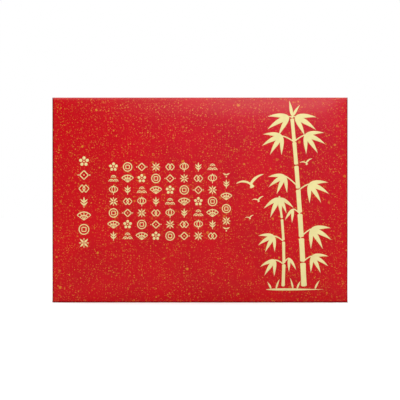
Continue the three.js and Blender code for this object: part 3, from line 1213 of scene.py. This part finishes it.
# Each light: where it stands, the point it aims at, its width and height, and its tint. The
# window's and the cool light's reflections make the sheen at the face's top.
LIGHTS = {
    "window": ((0.245, -2.3, 0.60), (0.04, 0, 0.06), (0.55, 0.50), (1.0, 0.98, 1.06)),
    "top": ((0.02, -0.20, 0.34), (0, 0, 0.08), (0.16, 0.06), (1, 1, 1)),
    "cool": ((0.21, -2.35, 0.24), (0.04, 0, 0.06), (0.48, 0.26), (0.3, 0.35, 1.0)),
    "back": ((-0.35, 0.7, 1.25), (0, 0, 0.06), (0.3, 0.3), (1, 1, 1)),
}


def area_light(name, power, stands_at, aims_at, size, tint):
    light = bpy.data.lights.new(name, "AREA")
    light.shape = "RECTANGLE"
    light.size, light.size_y = size
    light.energy = power
    light.color = tint
    lamp = bpy.data.objects.new(name, light)
    bpy.context.scene.collection.objects.link(lamp)
    lamp.location = stands_at
    lamp.rotation_mode = "QUATERNION"
    lamp.rotation_quaternion = (Vector(aims_at) - Vector(stands_at)).to_track_quat("-Z", "Y")
    lamp.visible_camera = False


def make_camera(distance):
    """A long lens square to the printed face, which fills the same pixels as in the
    photograph. The picture's width at the face is the photograph's width in pixels."""
    camera = bpy.data.cameras.new("camera")
    camera.sensor_width = 36.0
    camera.lens = camera.sensor_width * distance / (PHOTO_SIZE * PIXEL)
    camera.clip_end = 100
    holder = bpy.data.objects.new("camera", camera)
    bpy.context.scene.collection.objects.link(holder)
    holder.location = (0, FRONT_FACE - distance, HEIGHT / 2)
    holder.rotation_euler = (math.radians(90), 0, 0)
    bpy.context.scene.camera = holder


def make_world():
    """Soft studio light from all round, brightest overhead, and a white backdrop."""
    world = bpy.data.worlds.new("studio")
    bpy.context.scene.world = world
    world.use_nodes = True
    world.node_tree.nodes.clear()
    maker = NodeMaker(world.node_tree)
    up = maker.split(maker.add("ShaderNodeTexCoord").outputs["Generated"])["Z"]
    inputs = {"Value": up, "To Min": HORIZON_STRENGTH, "To Max": ZENITH_STRENGTH}
    light = maker.add("ShaderNodeMapRange", inputs).outputs[0]
    seen = maker.add("ShaderNodeLightPath").outputs["Is Camera Ray"]
    lighting = maker.add("ShaderNodeBackground", {"Color": WORLD_WHITE, "Strength": light})
    backdrop = maker.add("ShaderNodeBackground", {"Color": WORLD_WHITE, "Strength": 1.0})
    shaders = {0: seen, 1: lighting.outputs[0], 2: backdrop.outputs[0]}
    mixed = maker.add("ShaderNodeMixShader", shaders).outputs[0]
    maker.add("ShaderNodeOutputWorld", {"Surface": mixed})


def make_floor():
    """A round floor that faces up: rings of points that spread out by the square of their
    number, round a small middle face."""
    reach = FLOOR_RADIUS * np.linspace(0.02, 1, FLOOR_RINGS)[:, None] ** 2
    turn = 2 * math.pi * np.arange(FLOOR_SPOKES) / FLOOR_SPOKES
    points = stacked(reach * np.cos(turn), reach * np.sin(turn), 0).reshape(-1, 3)
    index = np.arange(FLOOR_RINGS * FLOOR_SPOKES).reshape(FLOOR_RINGS, FLOOR_SPOKES)
    closed = np.concatenate([index, index[:, :1]], axis=1).reshape(-1)
    quads = closed[grid_quads(FLOOR_RINGS, FLOOR_SPOKES + 1)][:, ::-1]
    faces = quads.tolist() + [index[0].tolist()]
    floor = new_piece("floor", points, faces, [shared_finish(floor_finish)])


# Operators


class ENVELOPE_OT_stage(bpy.types.Operator):
    """Makes the floor, the lights and the camera"""

    bl_idname = "envelope.stage"
    bl_label = "Stage"

    def execute(self, context):
        stage = context.scene.envelope_stage
        context.scene.view_settings.view_transform = "Standard"
        make_camera(stage.camera_distance)
        make_world()
        make_floor()
        for name, numbers in LIGHTS.items():
            area_light(name + "_light", getattr(stage, name + "_power"), *numbers)
        return {"FINISHED"}


class ENVELOPE_OT_front_sheet(bpy.types.Operator):
    """Makes the printed face with its side folds and tabs"""

    bl_idname = "envelope.front_sheet"
    bl_label = "Front sheet"

    def execute(self, context):
        make_front_sheet(card_finishes())
        return {"FINISHED"}


class ENVELOPE_OT_back_sheet(bpy.types.Operator):
    """Makes the bottom fold and the back panel with its thumb notch"""

    bl_idname = "envelope.back_sheet"
    bl_label = "Back sheet"

    def execute(self, context):
        make_back_sheet(card_finishes())
        return {"FINISHED"}


class ENVELOPE_OT_flap(bpy.types.Operator):
    """Makes the closure flap and the fold that it turns on"""

    bl_idname = "envelope.flap"
    bl_label = "Flap"

    def execute(self, context):
        make_flap_sheet(card_finishes())
        make_flap_fold(card_finishes())
        return {"FINISHED"}


class ENVELOPE_OT_seal(bpy.types.Operator):
    """Makes the tape and its release liner, and finishes the glue seams"""

    bl_idname = "envelope.seal"
    bl_label = "Tape, liner and glue"

    def execute(self, context):
        make_tape(shared_finish(sealing_tape))
        make_liner(shared_finish(release_paper))
        for node in ("left_seam_glue", "right_seam_glue"):
            finish_node(node, shared_finish(seam_glue))
        return {"FINISHED"}


class ENVELOPE_OT_foil_gulls(bpy.types.Operator):
    """Makes the four gliding gulls in foil"""

    bl_idname = "envelope.foil_gulls"
    bl_label = "Foil gulls"

    def execute(self, context):
        foil_piece("foil_gulls", gull_strokes(), BOLD_SECTION, shared_finish(stamped_foil))
        return {"FINISHED"}


class ENVELOPE_OT_foil_bamboo(bpy.types.Operator):
    """Makes the tall bamboo ornament in foil"""

    bl_idname = "envelope.foil_bamboo"
    bl_label = "Foil bamboo"

    def execute(self, context):
        stalks = stalk(*TALL_STALK) + stalk(*SLIM_STALK)
        strokes = stalks + foliage_strokes()
        foil_piece("foil_bamboo", strokes, BOLD_SECTION, shared_finish(stamped_foil), lowest=len(stalks))
        return {"FINISHED"}


class ENVELOPE_OT_foil_ornaments(bpy.types.Operator):
    """Makes the rows and columns of small ornaments in foil"""

    bl_idname = "envelope.foil_ornaments"
    bl_label = "Foil ornaments"

    def execute(self, context):
        foil_piece("foil_ornaments", ornament_strokes(), FINE_SECTION, shared_finish(stamped_foil))
        return {"FINISHED"}


OPERATORS = [
    ENVELOPE_OT_stage,
    ENVELOPE_OT_front_sheet,
    ENVELOPE_OT_back_sheet,
    ENVELOPE_OT_flap,
    ENVELOPE_OT_seal,
    ENVELOPE_OT_foil_gulls,
    ENVELOPE_OT_foil_bamboo,
    ENVELOPE_OT_foil_ornaments,
]

SETTINGS = {
    "envelope_card": EnvelopeCard,
    "envelope_colours": EnvelopeColours,
    "envelope_foil": EnvelopeFoil,
    "envelope_stage": EnvelopeStage,
}


class ENVELOPE_PT_panel(bpy.types.Panel):
    """The envelope's pieces, in the order in which they are made, and their settings"""

    bl_idname = "ENVELOPE_PT_panel"
    bl_label = "Gift Envelope"
    bl_space_type = "VIEW_3D"
    bl_region_type = "UI"
    bl_category = "Envelope"

    def draw(self, context):
        for operator in OPERATORS:
            self.layout.operator(operator.bl_idname)
        for group in SETTINGS:
            settings = getattr(context.scene, group)
            for name in settings.__annotations__:
                self.layout.prop(settings, name)


def register():
    for name, group in SETTINGS.items():
        bpy.utils.register_class(group)
        setattr(bpy.types.Scene, name, bpy.props.PointerProperty(type=group))
    for shown in [*OPERATORS, ENVELOPE_PT_panel]:
        bpy.utils.register_class(shown)


def unregister():
    for shown in [ENVELOPE_PT_panel, *reversed(OPERATORS)]:
        bpy.utils.unregister_class(shown)
    for name, group in reversed(SETTINGS.items()):
        delattr(bpy.types.Scene, name)
        bpy.utils.unregister_class(group)


def main():
    register()
    bpy.ops.envelope.stage()
    bpy.ops.envelope.front_sheet()
    bpy.ops.envelope.back_sheet()
    bpy.ops.envelope.flap()
    bpy.ops.envelope.seal()
    bpy.ops.envelope.foil_gulls()
    bpy.ops.envelope.foil_bamboo()
    bpy.ops.envelope.foil_ornaments()


if __name__ == "__main__":
    main()
